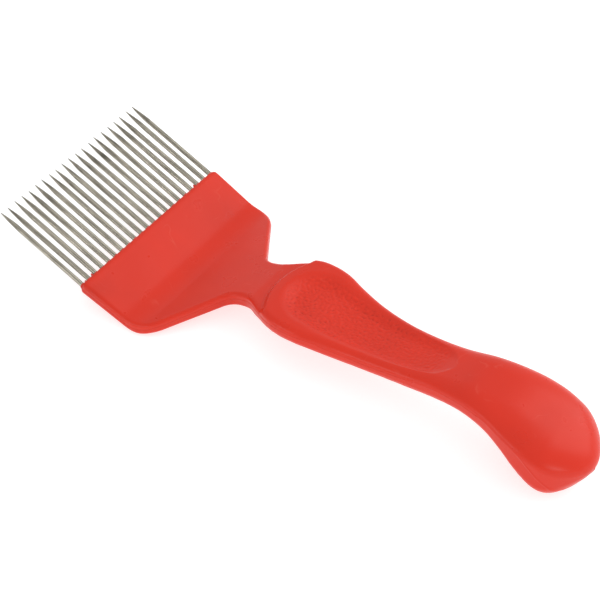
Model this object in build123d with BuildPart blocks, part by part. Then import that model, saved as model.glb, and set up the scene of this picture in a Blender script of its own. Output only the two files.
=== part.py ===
"""Uncapping fork: one moulded plastic handle with a row of pointed steel tines set in its head.

Millimetres. The fork is drawn from the middle of the head's front edge, X towards the butt, Z up,
and is then stood on Z = 0 with its length and width centred on the origin.
"""

import os
from math import cos, radians, sin

from build123d import *

# The row of tines
tine_count = 21
tine_pitch = 3.33
tine_radius = 0.8
tine_exposed = 36.3
tine_point = 8.5
tine_embedded = 15.0
tine_blunt = 0.12  # radius of the end that grinding leaves on the point

# How far the drawing frame leans from the fork's pose at rest
rest_tilt = 1.015  # degrees

# The head, a plate that slopes down from its front edge to the bend
head_tilt = 21.3  # degrees
head_half_width = 34.7  # at the front
head_taper = 0.04  # half width lost per mm of length
head_thickness = 4.8
corner_radius = 1.8
rim_radius = 1.4

# The neck, which rises from the bend and widens to the grip
neck_rise = 20.5  # degrees
bend_x, bend_z = 21.0, -5.5  # where the top faces of head and neck would meet
bend_thickness = 4.4
bend_radius = 11.0  # of the top face
under_bend_radius = 13.0  # of the bottom face
neck_end = 57.0  # inside the grip
neck_end_thickness = 6.1

# Half of the outline of head and neck, seen from above
shoulder_x = 25.3
shoulder_slope = 1.42
shoulder_radius = 10.0
neck_half_width = 9.3
neck_radius = 6.0
flare_x = 49.5
flare_slope = 0.61
flare_radius = 10.0

# The grip and butt, square to X: x, half width, top, bottom, top radius, bottom radius
grip_stations = [
    (53.2, 3.6, 7.0, 4.0, 1.0, 1.0),
    (54.4, 8.6, 7.7, 2.2, 1.4, 2.0),
    (57.5, 13.6, 8.5, 0.4, 1.8, 3.6),
    (61.0, 15.6, 8.7, 0.0, 2.0, 5.4),
    (66.0, 16.4, 8.7, -0.4, 2.2, 6.4),
    (71.0, 16.1, 8.4, -0.8, 2.2, 6.6),
    (78.0, 14.4, 7.4, -1.6, 2.2, 6.5),
    (86.0, 12.6, 6.7, -2.4, 2.2, 6.6),
    (97.0, 11.0, 6.8, -2.2, 2.2, 6.5),
    (109.0, 10.2, 8.3, -1.2, 2.6, 6.5),
    (121.0, 10.1, 11.0, 0.8, 3.4, 6.4),
    (131.0, 11.4, 13.3, 2.9, 4.2, 6.0),
    (140.0, 13.0, 13.5, 2.3, 5.0, 6.0),
    (147.0, 14.6, 12.7, -1.2, 6.2, 7.4),
    (153.0, 15.1, 11.4, -6.7, 7.0, 8.8),
    (159.0, 14.9, 9.7, -11.0, 7.6, 9.0),
    (164.5, 12.7, 7.1, -11.2, 7.4, 8.6),
    (168.3, 9.1, 4.4, -7.8, 5.2, 6.0),
    (170.7, 5.0, 1.7, -4.4, 2.6, 3.0),
    (171.7, 1.9, -0.2, -2.4, 1.0, 1.0),
]

# The thumb dish, sunk in the top of the grip: x, half width, level of its floor
dish_stations = [
    (58.6, 3.0, 7.6),
    (61.5, 9.2, 7.0),
    (67.0, 11.8, 6.9),
    (76.0, 10.8, 6.1),
    (86.0, 9.2, 5.6),
    (98.0, 8.2, 5.9),
    (110.0, 7.2, 7.5),
    (119.0, 4.4, 9.8),
]


def climb(degrees):
    """Run along X and Z of a line one mm long that climbs at this angle."""
    return cos(radians(degrees)), sin(radians(degrees))


def is_sharp(edge):
    """True for the plate's rims, False for the seams across its bend and down its walls."""
    along = edge % 0.5
    down_a_wall = abs(along.Z) > 0.8
    across_the_bend = abs(along.Y) > 0.99 and edge.center().X > 3
    return not down_a_wall and not across_the_bend


head_x, head_z = climb(-head_tilt)
neck_x, neck_z = climb(neck_rise)
neck_top = (neck_end, bend_z + (neck_end - bend_x) * neck_z / neck_x)
neck_bottom = (neck_end + neck_z * neck_end_thickness, neck_top[1] - neck_x * neck_end_thickness)
bend_bottom = (bend_x, bend_z - bend_thickness)
front_top = (-head_z * head_thickness / 2, head_x * head_thickness / 2)
front_bottom = (-front_top[0], -front_top[1])

shoulder_y = head_half_width - head_taper * shoulder_x
neck_start = shoulder_x + (shoulder_y - neck_half_width) / shoulder_slope
past_neck = neck_end + 10

dish_far_edge = [(x, half_width) for x, half_width, level in dish_stations]
dish_near_edge = [(x, -half_width) for x, half_width, level in dish_stations]
dish_floor = [(x, level) for x, half_width, level in dish_stations]

with BuildPart() as dish:
    with BuildSketch():
        with BuildLine():
            far = Spline(*dish_far_edge)
            near = Spline(*dish_near_edge)
            Line(near @ 0, far @ 0)
            Line(near @ 1, far @ 1)
        make_face()
    extrude(amount=30)
    with BuildSketch(Plane.XZ):
        with BuildLine():
            floor = Spline(*dish_floor)
            Polyline(floor @ 0, (dish_floor[0][0], 30), (dish_floor[-1][0], 30), floor @ 1)
        make_face()
    extrude(amount=20, both=True, mode=Mode.INTERSECT)

tine_row = Plane(origin=(0, 0, 0), x_dir=(0, 1, 0), z_dir=(head_x, 0, head_z))

with BuildPart() as handle:
    # Head and neck: a bent plate, cut to its outline from above
    with BuildSketch(Plane.XZ) as side:
        with BuildLine():
            Polyline(
                front_top, (bend_x, bend_z), neck_top, neck_bottom, bend_bottom, front_bottom, close=True
            )
        make_face()
        fillet(side.vertices().sort_by_distance((bend_x, bend_z))[0], bend_radius)
        fillet(side.vertices().sort_by_distance(bend_bottom)[0], under_bend_radius)
    extrude(amount=2 * head_half_width, both=True)
    with BuildSketch(Plane.XY.offset(-30)) as outline:
        with BuildLine():
            Polyline(
                (-10, 0),
                (-10, head_half_width + 10 * head_taper),
                (shoulder_x, shoulder_y),
                (neck_start, neck_half_width),
                (flare_x, neck_half_width),
                (past_neck, neck_half_width + (past_neck - flare_x) * flare_slope),
                (past_neck, 0),
                close=True,
            )
        make_face()
        fillet(outline.vertices().sort_by_distance((shoulder_x, shoulder_y))[0], shoulder_radius)
        fillet(outline.vertices().sort_by_distance((neck_start, neck_half_width))[0], neck_radius)
        fillet(outline.vertices().sort_by_distance((flare_x, neck_half_width))[0], flare_radius)
        mirror(about=Plane.XZ)
    extrude(amount=60, mode=Mode.INTERSECT)
    corners = handle.edges().filter_by(lambda e: abs(e.center().X) < 0.01 and abs(e.center().Z) < 0.01)
    fillet(corners, corner_radius)
    neck_face = handle.faces().sort_by(Axis.X)[-1]
    fillet(handle.edges().filter_by(is_sharp) - neck_face.edges(), rim_radius)

    # Grip and butt
    for x, half_width, top, bottom, top_radius, bottom_radius in grip_stations:
        with BuildSketch(Plane(origin=(x, 0, 0), x_dir=(0, 1, 0), z_dir=(1, 0, 0))) as section:
            with Locations((0, (top + bottom) / 2)):
                Rectangle(2 * half_width, top - bottom)
            fillet(section.vertices().group_by(Axis.Y)[-1], top_radius)
            fillet(section.vertices().group_by(Axis.Y)[0], bottom_radius)
    loft()
    add(dish.part, mode=Mode.SUBTRACT)

    # Blind holes that the tines are moulded into
    with BuildSketch(tine_row):
        with GridLocations(tine_pitch, 1, tine_count, 1):
            Circle(tine_radius)
    extrude(amount=tine_embedded, mode=Mode.SUBTRACT)

# One steel tine, a ground point at its tip and its root moulded into the head
tines = []
for position in range(tine_count):
    across = (position - (tine_count - 1) / 2) * tine_pitch
    axis_plane = Plane(origin=(0, across, 0), x_dir=(-head_x, 0, -head_z), z_dir=(0, -1, 0))
    with BuildPart() as tine:
        with BuildSketch(axis_plane):
            with BuildLine():
                root = Line((-tine_embedded, 0), (-tine_embedded, tine_radius))
                wire = Line(root @ 1, (tine_exposed - tine_point, tine_radius))
                point = TangentArc(wire @ 1, (tine_exposed, tine_blunt), tangent=(1, 0))
                Polyline(point @ 1, (tine_exposed, 0), root @ 0)
            make_face()
        revolve(axis=Axis((0, across, 0), (head_x, 0, head_z)))
    tine.part.label = f"tine_{position + 1:02d}"
    tines.append(tine.part)

# Stand the fork on its two lowest places, under the bend of the head and under the butt
handle.part.label = "handle"
pieces = [handle.part, *tines]
leaning = {piece.label: Rot(Y=-rest_tilt) * piece for piece in pieces}
box = Compound(list(leaning.values())).bounding_box()
stand = Pos(-box.center().X, -box.center().Y, -box.min.Z)

os.makedirs("parts", exist_ok=True)
for name, piece in leaning.items():
    placed = stand * piece
    placed.label = name
    export_step(placed, f"parts/{name}.step")
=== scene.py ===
"""Uncapping fork: a moulded plastic handle with a row of ground steel tines, on a pale studio floor.

Shapes are worked out in millimetres in the drawing frame of the fork: X from the middle of the head's
front edge towards the butt, Z up. place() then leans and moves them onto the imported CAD, in metres.
"""

import math

import bmesh
import bpy
import numpy as np
from bpy.props import FloatProperty, FloatVectorProperty, IntProperty, PointerProperty
from mathutils import Matrix, Vector, noise


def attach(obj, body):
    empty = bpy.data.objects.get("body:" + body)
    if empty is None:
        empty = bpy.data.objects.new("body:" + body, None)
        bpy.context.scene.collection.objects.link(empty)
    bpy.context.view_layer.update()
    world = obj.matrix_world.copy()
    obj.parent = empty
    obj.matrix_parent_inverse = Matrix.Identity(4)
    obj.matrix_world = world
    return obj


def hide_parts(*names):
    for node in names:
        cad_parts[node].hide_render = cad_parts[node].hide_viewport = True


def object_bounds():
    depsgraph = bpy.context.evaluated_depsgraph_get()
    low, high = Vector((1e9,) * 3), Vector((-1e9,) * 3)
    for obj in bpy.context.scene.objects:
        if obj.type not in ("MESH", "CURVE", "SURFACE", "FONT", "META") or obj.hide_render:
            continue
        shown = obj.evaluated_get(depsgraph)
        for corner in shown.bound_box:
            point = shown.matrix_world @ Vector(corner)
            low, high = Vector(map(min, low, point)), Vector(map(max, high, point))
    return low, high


bl_info = {
    "name": "Uncapping fork",
    "version": (1, 0, 0),
    "blender": (4, 5, 0),
    "location": "3D View > Sidebar > Fork",
    "description": "Builds an uncapping fork and the studio it stands in",
    "category": "Object",
}

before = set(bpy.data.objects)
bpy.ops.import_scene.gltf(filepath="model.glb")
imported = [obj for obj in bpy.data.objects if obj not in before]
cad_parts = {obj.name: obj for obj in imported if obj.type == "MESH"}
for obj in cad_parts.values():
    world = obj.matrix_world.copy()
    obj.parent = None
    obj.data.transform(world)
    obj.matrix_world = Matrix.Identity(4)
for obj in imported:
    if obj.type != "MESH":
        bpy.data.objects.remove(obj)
cad_low, cad_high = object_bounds()

MM = 0.001

# ---------------------------------------------------------------- the fork's own shape, in mm

REST_TILT = math.radians(1.015)  # how far the drawing frame leans from the fork's pose at rest
TIPS_TO_FRONT_EDGE = 34.09  # along X, from the tips of the tines to the front edge of the head
FRONT_EDGE_HEIGHT = 8.819  # the middle of the head's front edge above the floor

HEAD_TILT = math.radians(21.3)
CORNER_RADIUS = 1.8
RIM_RADIUS = 1.4
LEAN_ENDS = (16.0, 30.0)  # between these the sections turn from square to the head to square to X

# Top and bottom of head and neck in the middle plane: x, z, bend radius there
TOP_PATH = [(-4.0, 4.14, 0), (21.0, -5.5, 14.0), (50.5, 5.5, 9.0), (60.0, 7.7, 0)]
BOTTOM_PATH = [(-4.0, -1.04, 0), (21.0, -9.9, 13.0), (51.0, -0.4, 10.0), (62.0, -0.1, 0)]

# Half of the outline of head and neck from above: x, half width, corner radius
OUTLINE_PATH = [(-4.0, 34.86, 0), (26.3, 33.65, 12.5), (42.6, 9.3, 6.0), (49.5, 9.3, 9.0), (62.0, 16.93, 0)]

# The grip and butt, square to X: x, half width, top, bottom, top radius, bottom radius
GRIP_STATIONS = [
    (54.0, 12.0, 8.0, 0.6, 1.6, 2.6),
    (57.5, 13.9, 8.6, 0.2, 1.8, 4.2),
    (61.0, 15.6, 8.8, 0.0, 2.0, 5.4),
    (66.0, 16.4, 8.7, -0.4, 2.2, 6.2),
    (71.0, 16.1, 8.4, -0.8, 2.2, 6.6),
    (78.0, 14.4, 7.4, -1.6, 2.2, 6.5),
    (86.0, 12.6, 6.7, -2.3, 2.2, 6.5),
    (97.0, 11.0, 6.8, -2.2, 2.2, 6.5),
    (109.0, 10.2, 8.3, -1.2, 2.6, 6.5),
    (121.0, 10.1, 11.0, 0.8, 3.4, 6.3),
    (131.0, 11.4, 13.3, 2.8, 4.2, 6.0),
    (140.0, 13.0, 13.5, 2.1, 5.0, 6.2),
    (147.0, 14.5, 12.7, -1.4, 6.2, 7.4),
    (153.0, 15.2, 11.4, -6.7, 7.0, 8.8),
    (159.0, 14.9, 9.7, -11.0, 7.6, 9.2),
    (164.5, 13.7, 7.7, -12.0, 7.6, 9.2),
    (168.3, 12.5, 6.4, -10.2, 7.2, 8.6),
    (172.0, 11.2, 5.0, -7.6, 6.4, 7.6),
]
BUTT_START = 159.0  # from here the butt closes as an ellipse
BUTT_END = 172.0
BUTT_POWER = 2.3
BUTT_DROP = 0.7  # how far its middle sinks on the way

# How far each rounded edge reaches sideways, as a share of its radius: x, top, bottom
EDGE_REACH = [(50.0, 1.0, 1.0), (64.0, 1.1, 1.5), (110.0, 1.2, 1.5), (135.0, 1.6, 1.6), (172.2, 1.7, 1.6)]

# The thumb dish: a round front, then x and half width of a tail that narrows, and x and depth
DISH_CENTRE_X = 70.0
DISH_RADIUS = 12.4
DISH_TAIL = [
    (70, 12.4), (77, 12.0), (85, 10.6), (93, 9.4), (101, 8.7), (109, 8.2), (115, 7.2), (119, 5.2), (122, 1.5)
]
DISH_DEPTHS = [(57, 2.1), (70, 2.1), (80, 1.9), (92, 1.6), (104, 1.4), (113, 1.2), (118, 0.8), (122, 0.0)]

DISH_WALL = 0.5  # how much of the dish's width its sloping wall takes
STIPPLE_EDGE = 0.1  # how much of it, from the rim, is without stipple

# The grip's front rim: where it steps up from the neck, how its line bows, how long the step is
CREASE_X = 53.6
CREASE_BOW = 0.0245
CREASE_RUN = 1.7

# x and height of the line where the two halves of the mould met
PARTING_LINE = [
    (30, -4.2), (45, 0.9), (60, 5.8), (71, 6.0), (86, 4.4), (97, 4.3), (109, 5.8), (121, 8.0),
    (131, 9.6), (140, 9.6), (147, 8.6), (153, 6.4), (157, 3.0), (161, -1.0), (166, -5.6), (172.2, -6.0),
]


def climb(angle):
    """Unit vector in the XZ plane that climbs at this angle."""
    return np.array([math.cos(angle), math.sin(angle)])


def place(points):
    """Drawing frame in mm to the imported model's frame in metres."""
    points = np.asarray(points, float)
    cos_tilt, sin_tilt = climb(REST_TILT)
    x = points[..., 0] * cos_tilt - points[..., 2] * sin_tilt + TIPS_TO_FRONT_EDGE
    z = points[..., 0] * sin_tilt + points[..., 2] * cos_tilt + FRONT_EDGE_HEIGHT
    placed = np.stack([x, points[..., 1], z], -1) * MM
    return placed + np.array([cad_low[0], 0.0, cad_low[2]])


def smoothstep(t):
    t = np.clip(t, 0.0, 1.0)
    return t * t * (3 - 2 * t)


def curve_through(stations):
    """Smooth function of x through (x, value) pairs, with tangents from the neighbours."""
    xs, ys = np.array(stations, float).T
    slopes = np.gradient(ys, xs)

    def value(x):
        x = np.clip(x, xs[0], xs[-1])
        i = np.clip(np.searchsorted(xs, x) - 1, 0, len(xs) - 2)
        span = xs[i + 1] - xs[i]
        t = (x - xs[i]) / span
        start = ys[i] * (1 + 2 * t) * (1 - t) ** 2 + slopes[i] * span * t * (1 - t) ** 2
        end = ys[i + 1] * t * t * (3 - 2 * t) + slopes[i + 1] * span * t * t * (t - 1)
        return start + end

    return value


def rounded_path(corners):
    """Function of x along straight runs whose corners are rounded by arcs: (x, value, radius) each."""
    points = []
    for k, (x, y, radius) in enumerate(corners):
        here = np.array([x, y])
        if not radius:
            points.append(here)
            continue
        to_last = np.array(corners[k - 1][:2]) - here
        to_next = np.array(corners[k + 1][:2]) - here
        to_last /= np.linalg.norm(to_last)
        to_next /= np.linalg.norm(to_next)
        half_angle = math.acos(np.clip(to_last @ to_next, -1, 1)) / 2
        inward = (to_last + to_next) / np.linalg.norm(to_last + to_next)
        centre = here + inward * radius / math.sin(half_angle)
        for share in np.linspace(-1, 1, 15):
            turn = share * (math.pi / 2 - half_angle)
            side = np.array([-inward[1], inward[0]])
            if side @ to_next < 0:
                side = -side
            points.append(centre - radius * (inward * math.cos(turn) - side * math.sin(turn)))
    xs, ys = np.array(points).T
    return lambda x: np.interp(x, xs, ys)


grip_width, grip_top, grip_bottom, grip_top_radius, grip_bottom_radius = (
    curve_through([(row[0], row[k]) for row in GRIP_STATIONS]) for k in range(1, 6)
)
top_reach, bottom_reach = (curve_through([(row[0], row[k]) for row in EDGE_REACH]) for k in (1, 2))
neck_top = rounded_path(TOP_PATH)
neck_bottom = rounded_path(BOTTOM_PATH)
neck_outline = rounded_path(OUTLINE_PATH)
parting_height = curve_through(PARTING_LINE)
dish_width = curve_through(DISH_TAIL)
dish_depth = curve_through(DISH_DEPTHS)


def butt_share(x):
    """How much of the butt's section is left at x: 1 at its start, 0 at its end."""
    reach = BUTT_END - BUTT_START
    return np.sqrt(1 - np.clip((x - BUTT_START) / reach, 0.0, 1.0) ** BUTT_POWER)


def butt_middle(x):
    sunk = BUTT_DROP * smoothstep((x - BUTT_START) / (BUTT_END - BUTT_START))
    return (grip_top(BUTT_START) + grip_bottom(BUTT_START)) / 2 - sunk


def grip_level(x, edge):
    """Height of the grip's top or bottom, drawn in towards the butt's middle at its end."""
    return np.where(x > BUTT_START, butt_middle(x) + (edge(x) - butt_middle(x)) * butt_share(x), edge(x))


def half_width(x):
    grip_part = smoothstep((x - 54.0) / 8.0)
    return neck_outline(x) * (1 - grip_part) + grip_width(x) * butt_share(x) * grip_part


def top_height(x, y):
    """Height of the top, without the thumb dish; the grip's front rim steps up in an arc."""
    step = smoothstep((x - CREASE_X - CREASE_BOW * y**2) / CREASE_RUN)
    return neck_top(np.minimum(x, 60.0)) * (1 - step) + grip_level(x, grip_top) * step


def bottom_height(x):
    share = smoothstep((x - 50.0) / 9.0)
    return neck_bottom(np.minimum(x, 61.0)) * (1 - share) + grip_level(x, grip_bottom) * share


def dish_reach(x, y):
    """0 in the middle of the thumb dish, 1 on its rim."""
    front = np.hypot(x - DISH_CENTRE_X, y) / DISH_RADIUS
    return np.where(x < DISH_CENTRE_X, front, np.abs(y) / dish_width(x))


def dish_share(x, y):
    """0 outside the thumb dish, 1 on its floor."""
    reach = dish_reach(x, y)
    return 0.8 * smoothstep((1 - reach) / DISH_WALL) + 0.2 * np.maximum(1 - reach**2, 0.0)


# Rows of faces on one side of a section: across the top, round its edge, down the wall, round, across
ROWS_TOP, ROWS_TOP_EDGE, ROWS_WALL, ROWS_BOTTOM_EDGE, ROWS_BOTTOM = 44, 10, 16, 8, 14
ROW_ENDS = np.cumsum([ROWS_TOP, ROWS_TOP_EDGE, ROWS_WALL, ROWS_BOTTOM_EDGE, ROWS_BOTTOM])
RIDGE_ROW = 61  # the row that follows the parting line
RIDGE_HALF = 0.9  # rows from the ridge's top to its foot

# Where sections stand along X: from, to, spacing; the rim before them and the butt after them are arcs
SECTION_RUNS = [
    (1.8, 20.0, 0.7), (20.0, 53.0, 0.4), (53.0, 62.0, 0.22), (62.0, 122.0, 0.3), (122.0, BUTT_START, 0.6)
]
RIM_SECTIONS = 9
BUTT_SECTIONS = 44


def section_places():
    """x and distance behind the front face of every section of the handle."""
    turns = np.linspace(0, math.pi / 2, RIM_SECTIONS)
    rim = RIM_RADIUS * (1 - np.cos(turns)) * math.cos(HEAD_TILT)
    runs = [np.arange(start, end, step) for start, end, step in SECTION_RUNS]
    closing = np.sin(np.linspace(0, math.radians(88.5), BUTT_SECTIONS)) ** (2 / BUTT_POWER)
    butt = BUTT_START + (BUTT_END - BUTT_START) * closing
    return np.concatenate([rim, *runs, butt])


def rounding_loss(from_end, radius):
    """How far an edge of this radius falls back at a distance from the end it rounds."""
    return radius - math.sqrt(radius**2 - max(radius - from_end, 0.0) ** 2)


def section_frame(x):
    """What a section needs to know: its lean, middle, top and bottom, and its rounded edges."""
    lean = HEAD_TILT * (1 - smoothstep((x - LEAN_ENDS[0]) / (LEAN_ENDS[1] - LEAN_ENDS[0])))
    reference = float(top_height(x, 0.0) + bottom_height(x)) / 2
    top = bottom = 0.0
    for _ in range(8):  # a leaning section meets the top and bottom lines where these settle
        top = float(top_height(x + top * math.sin(lean), 0.0) - reference) / math.cos(lean)
        bottom = float(bottom_height(x + bottom * math.sin(lean)) - reference) / math.cos(lean)
    from_front = x / math.cos(HEAD_TILT)
    front_loss = rounding_loss(from_front, RIM_RADIUS)
    grip_part = smoothstep((x - 48.0) / 10.0)
    share = butt_share(x)
    slope = float(half_width(x + 0.2) - half_width(x - 0.2)) / 0.4 if x < BUTT_START else 0.0
    edges = []
    for radius, reach in ((grip_top_radius(x), top_reach(x)), (grip_bottom_radius(x), bottom_reach(x))):
        rise = (RIM_RADIUS + (radius * (1 - (reach - 1) / 3) - RIM_RADIUS) * grip_part) * share
        run = (RIM_RADIUS + (radius * reach - RIM_RADIUS) * grip_part) * share
        edges.append((rise, run * min(math.hypot(1.0, slope), 2.0)))
    return {
        "x": x,
        "lean": lean,
        "reference": reference,
        "top": top - front_loss,
        "bottom": bottom + front_loss,
        "edges": edges,
        "corner": rounding_loss(from_front, CORNER_RADIUS),
    }


def section_side(section, rows):
    """Points of one side of a section at these rows, from the middle of the top round to the bottom's."""
    x, (rise_top, run_top), (rise_bottom, run_bottom) = section["x"], *section["edges"]
    outward = np.clip(rows / ROW_ENDS[0], 0, 1)
    turn_top = np.clip((rows - ROW_ENDS[0]) / ROWS_TOP_EDGE, 0, 1) * math.pi / 2
    down = np.clip((rows - ROW_ENDS[1]) / ROWS_WALL, 0, 1)
    turn_bottom = np.clip((rows - ROW_ENDS[2]) / ROWS_BOTTOM_EDGE, 0, 1) * math.pi / 2
    inward = np.clip((rows - ROW_ENDS[3]) / ROWS_BOTTOM, 0, 1)
    wall = section["top"] - section["bottom"] - rise_top - rise_bottom
    fall = rise_top * (1 - np.cos(turn_top)) + wall * down + rise_bottom * np.sin(turn_bottom)
    level = section["top"] - fall
    width = half_width(x + level * math.sin(section["lean"])) - section["corner"]
    inset = run_top * (1 - np.sin(turn_top)) + run_bottom * (1 - np.cos(turn_bottom))
    offset = np.maximum(width - inset, 0.0) * outward * (1 - inward)
    flat_edge = offset[np.argmin(np.abs(rows - ROW_ENDS[0]))]
    level = level + (top_height(x, np.minimum(offset, flat_edge)) - top_height(x, 0.0)) * (1 - down)
    points = np.stack([
        x + level * math.sin(section["lean"]),
        offset,
        section["reference"] + level * math.cos(section["lean"]),
    ], -1)
    return points


def section_rows(section):
    """Rows of one side, moved so that one of them lies on the parting line."""
    looked_at = np.linspace(ROW_ENDS[0], ROW_ENDS[3], 200)
    heights = section_side(section, looked_at)[:, 2]
    grip_part = smoothstep((section["x"] - 25.0) / 10.0)
    line = section["reference"] * (1 - grip_part) + parting_height(section["x"]) * grip_part
    ridge = np.interp(-line, -heights, looked_at)
    ridge = np.clip(ridge, ROW_ENDS[0] + 3, ROW_ENDS[3] - 1)
    return np.concatenate([
        np.linspace(0, ROW_ENDS[0], ROWS_TOP + 1),
        np.linspace(ROW_ENDS[0], ridge - RIDGE_HALF, RIDGE_ROW - ROWS_TOP)[1:],
        [ridge],
        np.linspace(ridge + RIDGE_HALF, ROW_ENDS[4], ROW_ENDS[4] - RIDGE_ROW),
    ])


DISH_STIPPLE_GRAIN = 0.85  # mm from one grain of the dish's texture to the next
GATE_AT = (169.2, 0.0, -7.6)  # where the plastic was fed into the mould, as x, y, z
GATE_RADIUS = 1.3
GATE_HEIGHT = 0.3  # of the stub left where the feed was cut off


def flow_wave(point):
    """Slow unevenness that a thick moulding keeps from shrinking, from -1 to 1."""
    return noise.noise(Vector((point[0] / 14.0, point[1] / 11.0, point[2] / 11.0)))


def stipple_grain(point):
    """Rounded grains, like those of a spark-eroded mould, from about -1 to 1."""
    grain = Vector((point[0], point[1], 0.0)) / DISH_STIPPLE_GRAIN
    return noise.noise(grain) + 0.6 * noise.noise(grain * 1.9 + Vector((7.3, 2.1, 5.0)))


def handle_rings(stipple_depth):
    """Rings of points round the handle, with how much stipple each has and how high its grain is."""
    rings, stipples, grains = [], [], []
    for x in section_places():
        section = section_frame(float(x))
        side = section_side(section, section_rows(section))
        ring = np.concatenate([side, side[-2:0:-1] * np.array([1.0, -1.0, 1.0])])
        on_top = np.zeros(len(ring))
        on_top[: ROWS_TOP + 1] = 1.0
        on_top[len(ring) - ROWS_TOP :] = 1.0
        along_dish = DISH_DEPTHS[0][0] - 2 < x < DISH_DEPTHS[-1][0]
        in_dish = on_top * dish_share(ring[:, 0], ring[:, 1]) * along_dish
        ring[:, 2] -= in_dish * dish_depth(ring[:, 0])
        inside = (in_dish > 0) * (1 - STIPPLE_EDGE - dish_reach(ring[:, 0], ring[:, 1])) / 0.12
        stipple = smoothstep(inside) * smoothstep((120.0 - x) / 5.0) * (1 - 0.3 * smoothstep((x - 76) / 26))
        grain = np.zeros(len(ring))
        for k in np.nonzero(stipple)[0]:
            grain[k] = stipple[k] * stipple_grain(ring[k])
        ring[:, 2] += stipple_depth * grain
        rings.append(ring)
        stipples.append(stipple)
        grains.append(grain)
    return np.array(rings), np.array(stipples), np.array(grains)


def new_piece(name, points, faces, material):
    """A smooth-shaded piece that rides on the one body of the fork."""
    mesh = bpy.data.meshes.new(name)
    mesh.from_pydata([tuple(point) for point in points], [], faces)
    mesh.validate()
    mesh.shade_smooth()
    piece = bpy.data.objects.new(name, mesh)
    bpy.context.collection.objects.link(piece)
    mesh.materials.append(material)
    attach(piece, "root")
    return piece


def write_attribute(piece, name, values):
    attribute = piece.data.attributes.new(name, "FLOAT", "POINT")
    attribute.data.foreach_set("value", np.asarray(values, np.float32).ravel())


def tube_faces(ring_count, ring_size):
    """Quads between rings, and a face over each end; the rings run so that faces look outwards."""
    faces = []
    for i in range(ring_count - 1):
        for k in range(ring_size):
            nearer, further = i * ring_size, (i + 1) * ring_size
            after = (k + 1) % ring_size
            faces.append((nearer + k, further + k, further + after, nearer + after))
    faces.append(tuple(range(ring_size)))
    faces.append(tuple(reversed(range((ring_count - 1) * ring_size, ring_count * ring_size))))
    return faces


def push_out(piece, distances):
    """Move each vertex out along its normal by its own distance, in metres."""
    mesh = piece.data
    count = len(mesh.vertices)
    places, normals = np.zeros(count * 3), np.zeros(count * 3)
    mesh.vertices.foreach_get("co", places)
    mesh.vertex_normals.foreach_get("vector", normals)
    mesh.vertices.foreach_set("co", places + normals * np.repeat(distances, 3))
    mesh.update()


TINE_COUNT = 21
TINE_PITCH = 3.33
TINE_EXPOSED = 36.3
TINE_EMBEDDED = 15.0
TINE_SIDES = 20
TINE_BLUNT = 0.1  # radius left at the very tip
TINE_PLANE = 0.0  # height of the row's middle at the front face

FLOOR_HALF = 1.6
CAMERA_AIM = (-0.00805, 0.00299, 0.010)  # from the middle of the fork on the floor
BRIGHT_SIDE = Vector((0.1, 0.62, 0.78))  # where the light that comes from all round is strongest
# name, place from the fork, size, share of the key's power
SOFT_LIGHTS = [
    ("softbox_far_side", (0.62, 0.85, 0.85), (1.2, 1.2), 1.0),
    ("softbox_low_near", (-0.30, -1.2, 0.32), (0.7, 0.16), 0.3),
    ("reflector_butt_end", (0.95, -0.42, 0.28), (0.36, 0.18), 0.12),
]


def tine_points(number, chance, settings):
    """Rings along one tine, from its end in the head to its point, with how freshly ground each is."""
    radius = settings.diameter / MM / 2
    point_length = settings.point_length / MM * (1 + chance.uniform(-0.1, 0.1))
    exposed = TINE_EXPOSED + chance.uniform(-0.2, 0.2)
    sway, lift = np.radians(chance.uniform(-0.3, 0.3, 2))
    spin = chance.uniform(0, math.tau)
    facets = chance.uniform(0.03, 0.07)
    smear_at, smear_strength = chance.uniform(0.3, 2.0), chance.uniform(0.25, 0.9)
    shaft = np.array([-TINE_EMBEDDED, -0.2, 0.2, 6.0, 12.0, 18.0, exposed - point_length - 1.5])
    taper = np.linspace(0, 1, 22)
    along = np.concatenate([shaft, exposed - point_length * (1 - taper)])
    slimness = np.concatenate([np.ones(len(shaft)), 1 - taper**1.8 * (1 - TINE_BLUNT / radius)])
    direction = np.array([-math.cos(HEAD_TILT + lift), 0.0, math.sin(HEAD_TILT + lift)])
    side = np.array([0.0, 1.0, 0.0])
    rise = np.cross(side, direction)
    root = np.array([0.0, (number - (TINE_COUNT + 1) / 2) * TINE_PITCH, TINE_PLANE])
    turns = np.linspace(0, math.tau, TINE_SIDES, endpoint=False)
    points, grounds = [], []
    for distance, slim in zip(along, slimness):
        ground = smoothstep((distance - (exposed - point_length)) / 1.5)
        wobble = 1 + ground * facets * np.cos(3 * turns + spin + distance * 0.5)
        centre = root + direction * distance + side * max(distance, 0.0) * math.sin(sway)
        reach = radius * slim * wobble
        ring = centre + np.outer(np.cos(turns) * reach, side) + np.outer(np.sin(turns) * reach, rise)
        points.append(ring)
        from_start = distance - (exposed - point_length)
        smear = smear_strength * math.exp(-(((from_start - smear_at) / 2.2) ** 2))
        grounds.append(np.full(TINE_SIDES, max(smear, 0.42 * ground)))
    return np.concatenate(points), np.concatenate(grounds), len(along), TINE_SIDES


# Slivers of flash at the front face: place in the row of tines, length
FLASH_SLIVERS = [(1.5, 0.7), (2.55, 1.1), (3.6, 0.4), (9.7, 0.5), (13.4, 0.4), (18.55, 1.1), (19.5, 0.5)]
COLLAR_PROFILE = [(-0.5, 0.74), (-0.5, 1.1), (0.0, 1.05), (0.1, 0.95), (0.25, 0.85), (0.3, 0.74)]
FLASH_SIDES = 16


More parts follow.
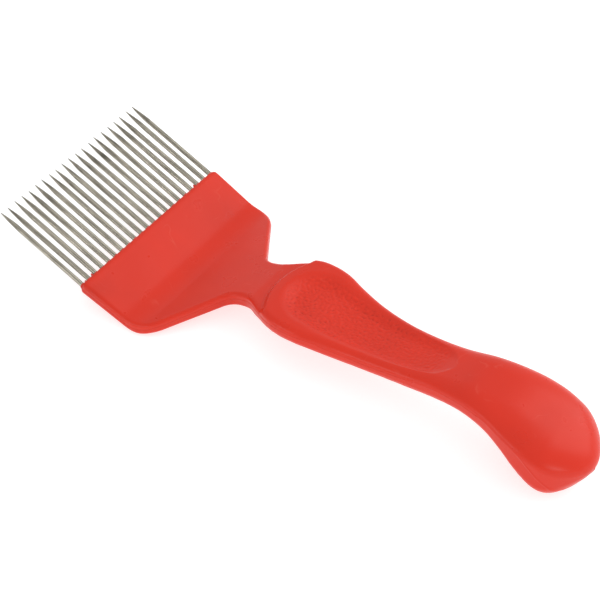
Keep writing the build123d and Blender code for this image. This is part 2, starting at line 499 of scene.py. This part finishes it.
def root_frame(number):
    """Where this place in the row leaves the head, and its directions: along, sideways, up."""
    along = np.array([-math.cos(HEAD_TILT), 0.0, math.sin(HEAD_TILT)])
    side = np.array([0.0, 1.0, 0.0])
    root = np.array([0.0, (number - (TINE_COUNT + 1) / 2) * TINE_PITCH, TINE_PLANE])
    return root, along, side, np.cross(side, along)


def collar_rings(number, chance):
    """Closed profile turned round one tine, a little uneven as torn plastic is."""
    root, along, side, up = root_frame(number)
    turns = np.linspace(0, math.tau, FLASH_SIDES, endpoint=False)
    uneven = 1 + 0.35 * chance.uniform(-1, 1) * np.cos(turns + chance.uniform(0, math.tau))
    rings = []
    for distance, radius in COLLAR_PROFILE:
        reach = np.maximum(distance, 0.0) * uneven + np.minimum(distance, 0.0)
        ring = root + np.outer(reach, along)
        rings.append(ring + radius * (np.outer(np.cos(turns), side) + np.outer(np.sin(turns), up)))
    return np.array(rings)


def sliver_rings(number, length):
    """A thin tongue of plastic that crept out of the mould between two tines."""
    root, along, side, up = root_frame(number)
    turns = np.linspace(0, math.tau, FLASH_SIDES, endpoint=False)
    rings = []
    for share in np.linspace(0, 1, 7):
        width, thickness = 0.85 * (1 - share) ** 0.7 + 0.05, 0.3 * (1 - share) + 0.04
        centre = root + along * (share * (length + 0.4) - 0.4) + side * 0.3 * share**2
        rings.append(centre + np.outer(np.cos(turns) * width, side) + np.outer(np.sin(turns) * thickness, up))
    return np.array(rings)


def add_rings(points, faces, rings, closed):
    """Add rings of points and the faces between them: a loop of rings, or a capped run."""
    first, (ring_count, ring_size) = len(points), rings.shape[:2]
    points.extend(rings.reshape(-1, 3))
    added = tube_faces(ring_count, ring_size)
    if closed:
        added = added[:-2]
        last = (ring_count - 1) * ring_size
        for k in range(ring_size):
            after = (k + 1) % ring_size
            added.append((last + k, k, after, last + after))
    faces.extend(tuple(first + k for k in face) for face in added)


# ---------------------------------------------------------------- materials


def linear(hex_colour):
    """sRGB hex such as "d9463b" as a linear colour."""
    channels = [int(hex_colour[k : k + 2], 16) / 255 for k in (0, 2, 4)]
    return tuple(c / 12.92 if c <= 0.04045 else ((c + 0.055) / 1.055) ** 2.4 for c in channels)


def add_node(owner, kind, settings=None, **links):
    """Add a node; settings are its properties and plain socket values, links come from other sockets.

    A socket that shares its name with another is given by its place, such as i1.
    """
    node = owner.node_tree.nodes.new(kind)

    def socket(name):
        return node.inputs[int(name[1:])] if name[1:].isdigit() else node.inputs.get(name)

    for name, value in (settings or {}).items():
        if socket(name) is None:
            setattr(node, name, value)
        else:
            socket(name).default_value = value
    for name, source in links.items():
        owner.node_tree.links.new(source, socket(name))
    return node


def noise_scale(size):
    """Scale of a noise whose patches are about this many millimetres across."""
    return 1 / (size * MM)


def set_stops(ramp_node, stops):
    ramp = ramp_node.color_ramp
    while len(ramp.elements) > 1:
        ramp.elements.remove(ramp.elements[-1])
    ramp.elements[0].position, ramp.elements[0].color = stops[0]
    for position, colour in stops[1:]:
        ramp.elements.new(position).color = colour
    return ramp_node


def new_material(name):
    material = bpy.data.materials.new(name)
    material.use_nodes = True
    material.node_tree.nodes.clear()
    return material


def moulded_polypropylene(colour):
    """Red polypropylene, injection moulded in a polished mould with a spark-eroded dish.

    It gives a waxy satin red with soft wide highlights, faint flow marks and a mealy patch of stipple, with
    painted shade in the stipple's hollows and a painted highlight on its crests.
    """
    material = new_material("moulded_polypropylene_red")
    where = add_node(material, "ShaderNodeTexCoord").outputs["Object"]
    stipple = add_node(material, "ShaderNodeAttribute", {"attribute_name": "stipple"}).outputs["Fac"]
    # The grain's height, which below paints shade into the stipple's hollows and a highlight onto its crests
    grain = add_node(material, "ShaderNodeAttribute", {"attribute_name": "grain"}).outputs["Fac"]
    flow = add_node(
        material, "ShaderNodeTexNoise", {"Scale": noise_scale(22.0), "Detail": 2.0}, Vector=where
    ).outputs["Fac"]
    depth = add_node(
        material, "ShaderNodeMath", {"operation": "MULTIPLY_ADD", "use_clamp": True, "i1": 0.55},
        i0=grain, i2=flow,
    ).outputs["Value"]
    shade = add_node(material, "ShaderNodeValToRGB", Fac=depth)
    # From the stipple's hollows, darkened as painted shade, through the slow flow marks, to its crests,
    # lightened as a painted highlight: place, brightness
    flow_tones_and_painted_grain_light = [(0.0, 0.74), (0.35, 0.965), (0.65, 1.025), (1.0, 1.14)]
    set_stops(shade, [(place_at, tuple(c * tone for c in colour) + (1.0,)) for place_at, tone in flow_tones_and_painted_grain_light])

    # Handling marks, about 0.4 mm wide where real ones are finer, so that they show
    curls = add_node(
        material, "ShaderNodeTexNoise", {"Scale": noise_scale(16.0), "Detail": 1.0, "Distortion": 1.2},
        Vector=where,
    ).outputs["Fac"]
    off_line = add_node(material, "ShaderNodeMath", {"operation": "SUBTRACT", "i1": 0.56}, i0=curls)
    off_line = add_node(material, "ShaderNodeMath", {"operation": "ABSOLUTE"}, i0=off_line.outputs["Value"])
    grease = add_node(
        material, "ShaderNodeTexNoise", {"Scale": noise_scale(7.7), "Detail": 3.0}, Vector=where
    ).outputs["Fac"]
    worn = add_node(
        material, "ShaderNodeMapRange", {"From Min": 0.5, "From Max": 0.65, "To Max": 0.07}, Value=grease
    ).outputs["Result"]
    scuff = add_node(
        material, "ShaderNodeMapRange", {"From Max": 0.012, "To Max": 0.0},
        **{"Value": off_line.outputs["Value"], "To Min": worn},
    ).outputs["Result"]
    gloss = add_node(material, "ShaderNodeMapRange", {"To Min": 0.24, "To Max": 0.34}, Value=grease)
    scuffed = add_node(
        material, "ShaderNodeMath", {"operation": "ADD"}, i0=gloss.outputs["Result"], i1=scuff
    ).outputs["Value"]
    duller = add_node(
        material, "ShaderNodeMath", {"operation": "MULTIPLY_ADD", "use_clamp": True, "i1": 0.16},
        i0=stipple, i2=scuffed,
    )
    pale = add_node(
        material, "ShaderNodeMix", {"data_type": "RGBA", "i7": (0.9, 0.35, 0.28, 1.0)},
        i0=scuff, i6=shade.outputs["Color"],
    ).outputs[2]

    # The mould's polish marks, drawn 1.1 mm across where real ones are about 0.2 mm
    skin = add_node(material, "ShaderNodeTexNoise", {"Scale": noise_scale(1.1), "Detail": 2.0}, Vector=where)
    bump = add_node(
        material, "ShaderNodeBump", {"Strength": 0.12, "Distance": 0.00003}, Height=skin.outputs["Fac"]
    )
    shader = add_node(
        material, "ShaderNodeBsdfPrincipled", {"IOR": 1.49, "Specular IOR Level": 0.25},
        **{"Base Color": pale, "Roughness": duller.outputs["Value"], "Normal": bump.outputs["Normal"]},
    )
    add_node(material, "ShaderNodeOutputMaterial", Surface=shader.outputs["BSDF"])
    return material


def drawn_stainless_steel(colour):
    """Stainless spring wire, drawn and then ground to a point.

    It gives a warm satin grey with fine lines along the wire and darker smears where the grinding starts.
    """
    material = new_material("drawn_stainless_steel")
    where = add_node(material, "ShaderNodeTexCoord").outputs["Object"]
    along = add_node(
        material, "ShaderNodeMapping",
        {"vector_type": "TEXTURE", "Rotation": (0.0, HEAD_TILT - REST_TILT, 0.0), "Scale": (14.0, 1.0, 1.0)},
        Vector=where,
    )
    # Drawing lines, 0.3 mm apart where real ones are about 0.02 mm, so that they show
    lines = add_node(
        material, "ShaderNodeTexNoise", {"Scale": noise_scale(0.3), "Detail": 2.0},
        Vector=along.outputs["Vector"],
    )
    streaks = add_node(
        material, "ShaderNodeTexNoise", {"Scale": noise_scale(0.6), "Detail": 1.0},
        Vector=along.outputs["Vector"],
    )
    ground = add_node(material, "ShaderNodeAttribute", {"attribute_name": "ground"}).outputs["Fac"]
    blotch = add_node(
        material, "ShaderNodeTexNoise", {"Scale": noise_scale(2.4), "Detail": 2.0}, Vector=where
    )
    smear = add_node(
        material, "ShaderNodeMath", {"operation": "MULTIPLY"}, i0=ground, i1=blotch.outputs["Fac"]
    )
    dirt = add_node(
        material, "ShaderNodeMapRange", {"From Min": 0.38, "From Max": 0.62, "To Max": 0.55},
        Value=streaks.outputs["Fac"],
    )
    stain = add_node(
        material, "ShaderNodeMath", {"operation": "ADD"}, i0=smear.outputs["Value"], i1=dirt.outputs["Result"]
    )
    tone = add_node(material, "ShaderNodeValToRGB", Fac=stain.outputs["Value"])
    clean, smoked = colour + (1.0,), tuple(c * 0.25 for c in colour) + (1.0,)
    set_stops(tone, [(0.0, clean), (1.0, smoked)])
    gloss = add_node(
        material, "ShaderNodeMapRange", {"To Min": 0.20, "To Max": 0.34}, Value=lines.outputs["Fac"]
    )
    bump = add_node(
        material, "ShaderNodeBump", {"Strength": 0.25, "Distance": 0.00002}, Height=lines.outputs["Fac"]
    )
    shader = add_node(
        material, "ShaderNodeBsdfPrincipled", {"Metallic": 1.0, "Specular Tint": (0.3, 0.29, 0.27, 1.0)},
        **{"Base Color": tone.outputs["Color"], "Roughness": gloss.outputs["Result"],
           "Normal": bump.outputs["Normal"]},
    )
    add_node(material, "ShaderNodeOutputMaterial", Surface=shader.outputs["BSDF"])
    return material


def studio_paper(colour, glow):
    """Matt pale paper on a lit table, with the faint tooth of its fibres.

    The glow from below keeps the shadows on it faint.
    """
    material = new_material("studio_paper_white")
    where = add_node(material, "ShaderNodeTexCoord").outputs["Object"]
    fibres = add_node(
        material, "ShaderNodeTexNoise", {"Scale": noise_scale(1.7), "Detail": 3.0}, Vector=where
    )
    bump = add_node(
        material, "ShaderNodeBump", {"Strength": 0.05, "Distance": 0.0001}, Height=fibres.outputs["Fac"]
    )
    shader = add_node(
        material, "ShaderNodeBsdfPrincipled",
        {"Base Color": colour + (1.0,), "Roughness": 0.95, "Emission Color": (1.0, 1.0, 1.0, 1.0),
         "Emission Strength": glow},
        Normal=bump.outputs["Normal"],
    )
    add_node(material, "ShaderNodeOutputMaterial", Surface=shader.outputs["BSDF"])
    return material


# ---------------------------------------------------------------- sizes and colours a user may change


class ForkHandleSettings(bpy.types.PropertyGroup):
    colour: FloatVectorProperty(
        name="Colour", description="Colour of the plastic", subtype="COLOR",
        default=linear("d12e1a"), min=0, max=1,
    )
    stipple_depth: FloatProperty(
        name="Stipple depth", description="Height of the grains in the thumb dish",
        default=0.00016, min=0.0, unit="LENGTH", precision=5,
    )
    ridge_height: FloatProperty(
        name="Parting ridge", description="How proud the mould's parting line stands",
        default=0.00014, min=0.0, unit="LENGTH", precision=5,
    )
    waviness: FloatProperty(
        name="Waviness", description="Slow unevenness of the moulded skin",
        default=0.00005, min=0.0, unit="LENGTH", precision=5,
    )


class ForkTineSettings(bpy.types.PropertyGroup):
    colour: FloatVectorProperty(
        name="Colour", description="Colour of the steel", subtype="COLOR",
        default=linear("aca698"), min=0, max=1,
    )
    seed: IntProperty(name="Seed", description="Which set of small irregularities the tines have", default=7)
    diameter: FloatProperty(
        name="Diameter", description="Thickness of the wire", default=0.0016, unit="LENGTH", min=0.0005
    )
    point_length: FloatProperty(
        name="Point length", description="Length ground to a point", default=0.0085, unit="LENGTH", min=0.001
    )


class ForkStudioSettings(bpy.types.PropertyGroup):
    azimuth: FloatProperty(
        name="Azimuth", description="Camera's turn about the fork, from looking along +Y",
        default=math.radians(35.558), subtype="ANGLE",
    )
    elevation: FloatProperty(
        name="Elevation", description="Camera's height angle", default=math.radians(46.245), subtype="ANGLE"
    )
    roll: FloatProperty(
        name="Roll", description="Camera's roll", default=math.radians(1.181), subtype="ANGLE"
    )
    distance: FloatProperty(
        name="Distance", description="From the camera to the point it looks at",
        default=0.62698, unit="LENGTH",
    )
    lens: FloatProperty(name="Lens", description="Focal length in mm on a 36 mm sensor", default=117.0)
    fill: FloatProperty(name="Fill", description="Strength of the light from all round", default=0.85)
    key: FloatProperty(name="Key", description="Power of the large soft light, in watts", default=7.2)
    glow: FloatProperty(name="Glow", description="Light that comes up through the floor", default=0.66)
    paper: FloatVectorProperty(
        name="Paper", description="Colour of the floor", subtype="COLOR",
        default=linear("c8c8c8"), min=0, max=1,
    )


# ---------------------------------------------------------------- operators


class FORK_OT_build_handle(bpy.types.Operator):
    """Build the moulded handle: head, neck, grip with its thumb dish, and hooked butt"""

    bl_idname = "fork.build_handle"
    bl_label = "Build handle"

    def execute(self, context):
        settings = context.scene.fork_handle
        rings, stipples, grains = handle_rings(settings.stipple_depth / MM)
        ring_count, ring_size = stipples.shape
        points = rings.reshape(-1, 3)
        faces = tube_faces(ring_count, ring_size)
        material = moulded_polypropylene(tuple(settings.colour))
        handle = new_piece("moulded_handle", place(points), faces, material)
        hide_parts("handle")
        write_attribute(handle, "stipple", stipples)
        # The grain's height also drives the material's painted shade in the hollows and painted highlight on
        # the crests
        write_attribute(handle, "grain", grains)
        ridge = np.zeros((ring_count, ring_size))
        ridge[:, [RIDGE_ROW, ring_size - RIDGE_ROW]] = settings.ridge_height / MM
        wave = np.array([flow_wave(point) for point in points]) * settings.waviness / MM
        gate = np.linalg.norm(points - np.array(GATE_AT), axis=1) / GATE_RADIUS
        push_out(handle, (ridge.ravel() + wave + GATE_HEIGHT * np.exp(-(gate**2))) * MM)
        return {"FINISHED"}


class FORK_OT_build_tines(bpy.types.Operator):
    """Build the row of ground steel tines, each let into the head"""

    bl_idname = "fork.build_tines"
    bl_label = "Build tines"

    def execute(self, context):
        settings = context.scene.fork_tines
        material = drawn_stainless_steel(tuple(settings.colour))
        chance = np.random.default_rng(settings.seed)
        for number in range(1, TINE_COUNT + 1):
            points, grounds, rings, ring_size = tine_points(number, chance, settings)
            name = f"ground_tine_{number:02d}"
            tine = new_piece(name, place(points), tube_faces(rings, ring_size), material)
            write_attribute(tine, "ground", grounds)
            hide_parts(f"tine_{number:02d}")
        return {"FINISHED"}


class FORK_OT_build_flash(bpy.types.Operator):
    """Build the thin flash that moulding left round the roots of the tines"""

    bl_idname = "fork.build_flash"
    bl_label = "Build flash"

    def execute(self, context):
        material = moulded_polypropylene(tuple(context.scene.fork_handle.colour))
        points, faces = [], []
        chance = np.random.default_rng(context.scene.fork_tines.seed)
        for number in range(1, TINE_COUNT + 1):
            add_rings(points, faces, collar_rings(number, chance), True)
        for number, length in FLASH_SLIVERS:
            add_rings(points, faces, sliver_rings(number, length), False)
        new_piece("moulding_flash", place(points), faces, material)
        return {"FINISHED"}


class FORK_OT_build_studio(bpy.types.Operator):
    """Build the paper floor, the soft lights and the camera"""

    bl_idname = "fork.build_studio"
    bl_label = "Build studio"

    def execute(self, context):
        settings = context.scene.fork_studio
        scene = context.scene
        floor_z = cad_low[2]
        paper = bpy.data.meshes.new("paper_floor")
        sheet = bmesh.new()
        bmesh.ops.create_grid(sheet, x_segments=24, y_segments=24, size=FLOOR_HALF)
        sheet.to_mesh(paper)
        sheet.free()
        floor = bpy.data.objects.new("paper_floor", paper)
        floor.location = (0.0, 0.0, floor_z)
        context.collection.objects.link(floor)
        paper.materials.append(studio_paper(tuple(settings.paper), settings.glow))

        world = bpy.data.worlds.new("studio_air")
        world.use_nodes = True
        scene.world = world
        world.node_tree.nodes.clear()
        direction = add_node(world, "ShaderNodeTexCoord").outputs["Generated"]
        facing = add_node(
            world, "ShaderNodeVectorMath", {"operation": "DOT_PRODUCT", "i1": BRIGHT_SIDE}, i0=direction
        )
        strength = add_node(
            world, "ShaderNodeMapRange",
            {"From Min": -0.5, "To Min": settings.fill * 0.8, "To Max": settings.fill * 1.1},
            Value=facing.outputs["Value"],
        )
        background = add_node(
            world, "ShaderNodeBackground", {"Color": (1.0, 1.0, 1.0, 1.0)},
            Strength=strength.outputs["Result"],
        )
        add_node(world, "ShaderNodeOutputWorld", Surface=background.outputs["Background"])

        middle = Vector(((cad_low[0] + cad_high[0]) / 2, (cad_low[1] + cad_high[1]) / 2, floor_z))
        for name, place_at, size, power in SOFT_LIGHTS:
            lamp = bpy.data.lights.new(name, "AREA")
            lamp.shape = "RECTANGLE"
            lamp.size, lamp.size_y = size
            lamp.energy = power * settings.key
            light = bpy.data.objects.new(name, lamp)
            light.location = middle + Vector(place_at)
            light.rotation_euler = Vector(place_at).to_track_quat("Z", "Y").to_euler()
            context.collection.objects.link(light)

        level, height = math.cos(settings.elevation), math.sin(settings.elevation)
        back = Vector((math.sin(settings.azimuth) * level, -math.cos(settings.azimuth) * level, height))
        lens = bpy.data.cameras.new("studio_camera")
        lens.lens = settings.lens
        lens.sensor_width = 36.0
        camera = bpy.data.objects.new("studio_camera", lens)
        turn = back.to_track_quat("Z", "Y").to_matrix() @ Matrix.Rotation(settings.roll, 3, "Z")
        aim = middle + Vector(CAMERA_AIM)
        camera.matrix_world = Matrix.Translation(aim + back * settings.distance) @ turn.to_4x4()
        context.collection.objects.link(camera)
        scene.camera = camera
        scene.view_settings.view_transform = "Standard"
        return {"FINISHED"}


class FORK_PT_panel(bpy.types.Panel):
    """Sizes, colours and build buttons of the uncapping fork"""

    bl_label = "Uncapping fork"
    bl_idname = "FORK_PT_panel"
    bl_space_type = "VIEW_3D"
    bl_region_type = "UI"
    bl_category = "Fork"

    def draw(self, context):
        groups = (
            (context.scene.fork_handle, ("fork.build_handle", "fork.build_flash")),
            (context.scene.fork_tines, ("fork.build_tines",)),
            (context.scene.fork_studio, ("fork.build_studio",)),
        )
        for settings, operators in groups:
            box = self.layout.box()
            for name in settings.__annotations__:
                box.prop(settings, name)
            for operator in operators:
                box.operator(operator)


CLASSES = (
    ForkHandleSettings,
    ForkTineSettings,
    ForkStudioSettings,
    FORK_OT_build_handle,
    FORK_OT_build_tines,
    FORK_OT_build_flash,
    FORK_OT_build_studio,
    FORK_PT_panel,
)


def register():
    for cls in CLASSES:
        bpy.utils.register_class(cls)
    bpy.types.Scene.fork_handle = PointerProperty(type=ForkHandleSettings)
    bpy.types.Scene.fork_tines = PointerProperty(type=ForkTineSettings)
    bpy.types.Scene.fork_studio = PointerProperty(type=ForkStudioSettings)


def unregister():
    del bpy.types.Scene.fork_studio
    del bpy.types.Scene.fork_tines
    del bpy.types.Scene.fork_handle
    for cls in reversed(CLASSES):
        bpy.utils.unregister_class(cls)


def main():
    register()
    bpy.ops.fork.build_handle()
    bpy.ops.fork.build_tines()
    bpy.ops.fork.build_flash()
    bpy.ops.fork.build_studio()


if __name__ == "__main__":
    main()
